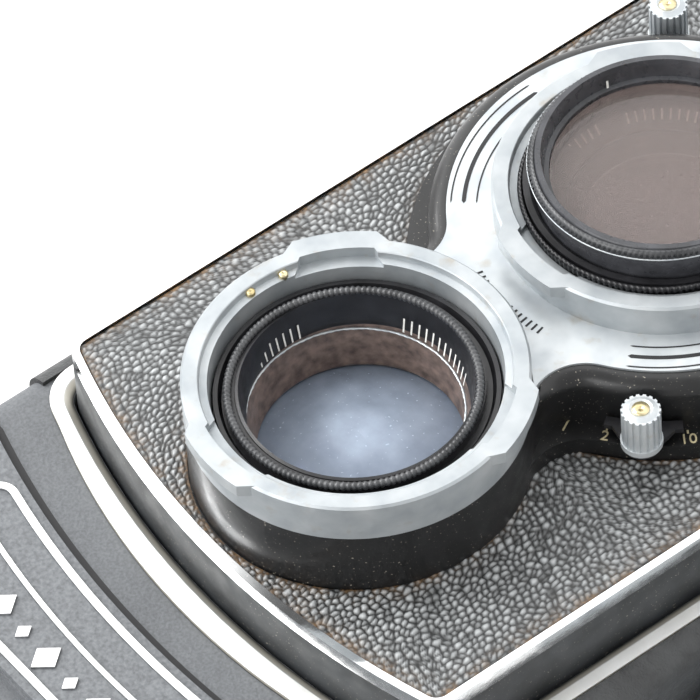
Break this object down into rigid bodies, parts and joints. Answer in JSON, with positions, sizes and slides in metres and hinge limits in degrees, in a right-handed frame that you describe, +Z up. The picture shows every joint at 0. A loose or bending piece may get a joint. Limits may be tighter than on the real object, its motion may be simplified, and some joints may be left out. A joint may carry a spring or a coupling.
{
  "type": "twin lens reflex camera",
  "caption": "Box-shaped roll film camera with a viewing lens above a taking lens on a sliding front, folding hood, side knobs and a hinged back.",
  "frame": {"origin": "mouth of the tripod thread in the base, in the plane of the feet", "axes": "+Z up, the lenses look along -Y, +X to the right seen from the front"},
  "size_m": [0.0917, 0.1029, 0.141],
  "materials": {
    "crackle_black": "black wrinkle enamel on sheet steel",
    "crackle_cast": "black wrinkle enamel on a light alloy casting",
    "gloss_cast": "glossy black lacquer on a light alloy casting",
    "matt_cast": "matt black paint on light alloy, inside",
    "leatherette": "grained black leather",
    "satin_silver": "satin",
    "bright_chrome": "polished",
    "anodised_black": "black anodised, semi-matt",
    "matt_black": "matt black inside",
    "steel": "brushed",
    "lens_glass": "coated",
    "filter_glass": "faintly warm",
    "ground_glass": "ground one side",
    "mirror_silver": "front silvered",
    "guide_plate": "satin with black lines"
  },
  "bodies": {
    "camera_body": {"body_casting": "crackle_cast", "film_chamber": "matt_cast", "mirror": "mirror_silver", "mirror_carrier": "matt_black", "focusing_screen": "ground_glass", "trim_frame": "bright_chrome", "nameplate": "crackle_cast", "side_leather": "leatherette", "strap_lugs": "satin_silver", "hinge_pin": "steel", "focus_scale_ring": "satin_silver", "counter_window": "lens_glass", "plate_screws": "steel", "hood_base": "crackle_black", "hood_leaf_left": "crackle_black", "hood_leaf_right": "crackle_black", "hood_leaf_rear": "crackle_black"},
    "film_roller_lower": {"film_roller_lower": "steel"},
    "film_roller_upper": {"film_roller_upper": "steel"},
    "takeup_spool": {"takeup_spool": "matt_black"},
    "supply_pull_knob": {"supply_pull_knob": "satin_silver"},
    "takeup_pull_knob": {"takeup_pull_knob": "satin_silver"},
    "wind_knob": {"wind_knob": "satin_silver"},
    "counter_button": {"counter_button": "satin_silver"},
    "focus_knob": {"focus_knob": "satin_silver", "focus_camshaft": "steel"},
    "lens_standard": {"lens_standard": "gloss_cast", "board_rim": "bright_chrome", "board_leather": "leatherette", "lens_surround": "gloss_cast", "face_plate": "satin_silver", "viewing_bayonet": "satin_silver", "taking_bayonet": "satin_silver", "viewing_cell": "anodised_black", "viewing_name_ring": "anodised_black", "viewing_glass": "lens_glass", "taking_cell": "anodised_black", "taking_name_ring": "anodised_black", "taking_glass": "lens_glass", "shutter_housing": "anodised_black", "shutter_blades": "steel", "shutter_sockets": "satin_silver"},
    "speed_lever": {"speed_lever": "anodised_black", "speed_knob": "satin_silver"},
    "aperture_lever": {"aperture_lever": "anodised_black", "aperture_knob": "satin_silver"},
    "cocking_lever": {"cocking_lever": "satin_silver"},
    "filter": {"filter_rim": "anodised_black", "filter_glass": "filter_glass"},
    "back_door": {"back_door": "crackle_cast", "back_leather": "leatherette", "exposure_plate": "guide_plate", "pressure_plate": "matt_black", "base_feet": "satin_silver", "tripod_socket": "steel"},
    "latch_lever": {"latch_lever": "satin_silver"},
    "latch_hook": {"latch_hook": "steel"},
    "hood_lid": {"hood_lid": "crackle_black"},
    "magnifier": {"magnifier_arm": "satin_silver", "magnifier_lens": "lens_glass"}
  },
  "joints": [
    {"name": "lens_focus", "type": "slide", "parent": "camera_body", "child": "lens_standard", "axis": [0, -1, 0], "range_m": [0, 0.007]},
    {"name": "focus_turn", "type": "hinge", "parent": "camera_body", "child": "focus_knob", "pos_m": [0, -0.02, 0.058], "axis": [1, 0, 0], "range_deg": [0, 170]},
    {"name": "wind_turn", "type": "hinge", "parent": "camera_body", "child": "wind_knob", "pos_m": [0, 0.022, 0.087], "axis": [1, 0, 0], "continuous": true},
    {"name": "takeup_turn", "type": "hinge", "parent": "camera_body", "child": "takeup_spool", "pos_m": [0, 0.022, 0.087], "axis": [1, 0, 0], "continuous": true},
    {"name": "roller_lower_turn", "type": "hinge", "parent": "camera_body", "child": "film_roller_lower", "pos_m": [0, 0.0232, 0.008], "axis": [1, 0, 0], "continuous": true},
    {"name": "roller_upper_turn", "type": "hinge", "parent": "camera_body", "child": "film_roller_upper", "pos_m": [0, 0.0232, 0.0733], "axis": [1, 0, 0], "continuous": true},
    {"name": "supply_pull", "type": "slide", "parent": "camera_body", "child": "supply_pull_knob", "axis": [1, 0, 0], "range_m": [0, 0.006], "stiffness_N_per_m": 300, "springref_m": -0.003},
    {"name": "takeup_pull", "type": "slide", "parent": "camera_body", "child": "takeup_pull_knob", "axis": [1, 0, 0], "range_m": [0, 0.006], "stiffness_N_per_m": 300, "springref_m": -0.003},
    {"name": "counter_press", "type": "slide", "parent": "camera_body", "child": "counter_button", "axis": [1, 0, 0], "range_m": [0, 0.0015], "stiffness_N_per_m": 300, "springref_m": -0.001},
    {"name": "speed_swing", "type": "hinge", "parent": "lens_standard", "child": "speed_lever", "pos_m": [0, -0.05, 0.041], "axis": [0, -1, 0], "range_deg": [0, 62]},
    {"name": "aperture_swing", "type": "hinge", "parent": "lens_standard", "child": "aperture_lever", "pos_m": [0, -0.05, 0.041], "axis": [0, -1, 0], "range_deg": [0, 58]},
    {"name": "cocking_swing", "type": "hinge", "parent": "lens_standard", "child": "cocking_lever", "pos_m": [0, -0.05, 0.041], "axis": [0, -1, 0], "range_deg": [-24, 24], "stiffness_Nm_per_rad": 0.05},
    {"name": "filter_twist", "type": "hinge", "parent": "lens_standard", "child": "filter", "pos_m": [0, -0.06, 0.041], "axis": [0, -1, 0], "range_deg": [0, 40]},
    {"name": "back_swing", "type": "hinge", "parent": "camera_body", "child": "back_door", "pos_m": [0, 0.0363, 0.1248], "axis": [1, 0, 0], "range_deg": [0, 110]},
    {"name": "latch_turn", "type": "hinge", "parent": "back_door", "child": "latch_lever", "pos_m": [0, 0, 0], "axis": [0, 0, 1], "range_deg": [0, 70]},
    {"name": "latch_slide", "type": "slide", "parent": "back_door", "child": "latch_hook", "axis": [0, 1, 0], "range_m": [0, 0.003]},
    {"name": "lid_swing", "type": "hinge", "parent": "camera_body", "child": "hood_lid", "pos_m": [0, -0.0343, 0.1384], "axis": [1, 0, 0], "range_deg": [0, 95]},
    {"name": "magnifier_swing", "type": "hinge", "parent": "hood_lid", "child": "magnifier", "pos_m": [0, 0.02, 0.137], "axis": [1, 0, 0], "range_deg": [0, 81]}
  ],
  "couplings": [
    {"joint": "focus_turn", "follows": "lens_focus", "rad_per_m": 423.67},
    {"joint": "takeup_turn", "follows": "wind_turn", "ratio": 1},
    {"joint": "latch_turn", "follows": "latch_slide", "rad_per_m": 407.2},
    {"joint": "magnifier_swing", "follows": "lid_swing", "ratio": 0.85}
  ]
}
